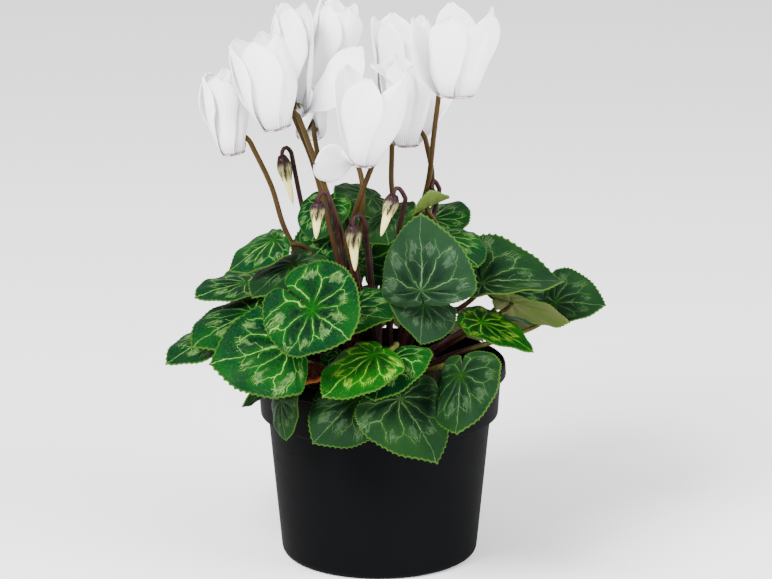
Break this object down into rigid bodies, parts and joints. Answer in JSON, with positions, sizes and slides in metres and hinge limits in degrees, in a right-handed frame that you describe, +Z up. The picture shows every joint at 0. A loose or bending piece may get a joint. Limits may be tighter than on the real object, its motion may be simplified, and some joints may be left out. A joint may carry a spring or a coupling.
{
  "type": "potted cyclamen",
  "caption": "flowering potted plant with reflexed white petals on hooked stalks over heart-shaped marbled leaves, in a round tapered nursery pot with a lip and drain holes",
  "frame": {"origin": "centre of the flat round underside of the pot", "axes": "+Z up along the pot's axis, -Y toward the side that the picture shows, +X to that view's right"},
  "size_m": [0.2065, 0.1915, 0.2649],
  "materials": {
    "black_plastic": "thin moulded black polypropylene, slightly glossy on the lip",
    "potting_soil": "dark damp peat compost, rough and crumbly",
    "stalk_brown": "fleshy smooth stalks, red-brown to olive, on a corky brown tuber",
    "leaf_green": "waxy dark green blade with silver-green marks and pale veins",
    "leaf_withered": "dry brown curled blade",
    "petal_white": "soft matt white, a little translucent",
    "bud_cream": "soft matt cream, furled"
  },
  "bodies": {
    "root": {"pot": "black_plastic", "soil": "potting_soil", "tuber_and_stalks": "stalk_brown", "leaf_01": "leaf_green", "leaf_02": "leaf_green", "leaf_03": "leaf_green", "leaf_04": "leaf_green", "leaf_05": "leaf_green", "leaf_06": "leaf_green", "leaf_07": "leaf_green", "leaf_08": "leaf_green", "leaf_09": "leaf_green", "leaf_10": "leaf_green", "leaf_11": "leaf_green", "leaf_12": "leaf_green", "leaf_13": "leaf_green", "leaf_14": "leaf_green", "leaf_15": "leaf_green", "leaf_16": "leaf_green", "leaf_17": "leaf_green", "leaf_18": "leaf_green", "leaf_19": "leaf_green", "leaf_20": "leaf_green", "leaf_21": "leaf_green", "leaf_22": "leaf_green", "leaf_23": "leaf_green", "leaf_24": "leaf_green", "leaf_25": "leaf_green", "leaf_26": "leaf_green", "leaf_27": "leaf_green", "leaf_28": "leaf_green", "leaf_29": "leaf_green", "leaf_30": "leaf_green", "leaf_31": "leaf_green", "leaf_32": "leaf_green", "leaf_33": "leaf_green", "leaf_34": "leaf_green", "leaf_35": "leaf_green", "leaf_36": "leaf_green", "leaf_37": "leaf_green", "leaf_38": "leaf_green", "leaf_39": "leaf_green", "leaf_40": "leaf_green", "leaf_41": "leaf_withered", "flower_01": "petal_white", "flower_02": "petal_white", "flower_03": "petal_white", "flower_04": "petal_white", "flower_05": "petal_white", "flower_06": "petal_white", "flower_07": "petal_white", "flower_08": "petal_white", "flower_09": "petal_white", "bud_01": "bud_cream", "bud_02": "bud_cream", "bud_03": "bud_cream", "bud_04": "bud_cream", "bud_05": "bud_cream"}
  },
  "joints": []
}
